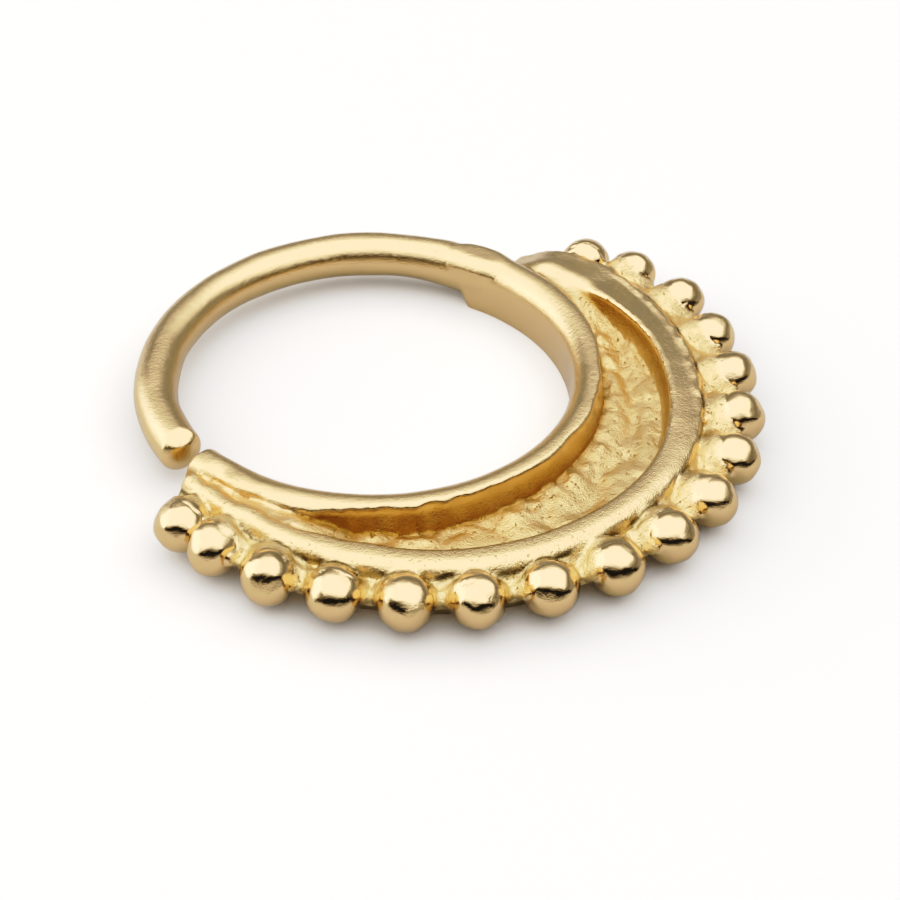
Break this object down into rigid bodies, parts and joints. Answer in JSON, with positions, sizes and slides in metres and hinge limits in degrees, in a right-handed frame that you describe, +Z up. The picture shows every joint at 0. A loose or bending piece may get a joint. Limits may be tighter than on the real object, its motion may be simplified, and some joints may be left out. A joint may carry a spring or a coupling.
{
  "type": "daith hoop",
  "caption": "Small cast ear hoop: a round ear wire that runs on as the inner rail of a sunk crescent with a beaded outer edge.",
  "frame": {"origin": "middle of the hoop's footprint on the surface that it lies on", "axes": "+Z up through the hole of the hoop, which lies flat; -Y towards the middle of the crescent; +X across it"},
  "size_m": [0.0148, 0.0144, 0.0013],
  "materials": {
    "gold": "cast and tumbled yellow gold"
  },
  "bodies": {
    "root": {"daith_hoop": "gold"}
  },
  "joints": []
}
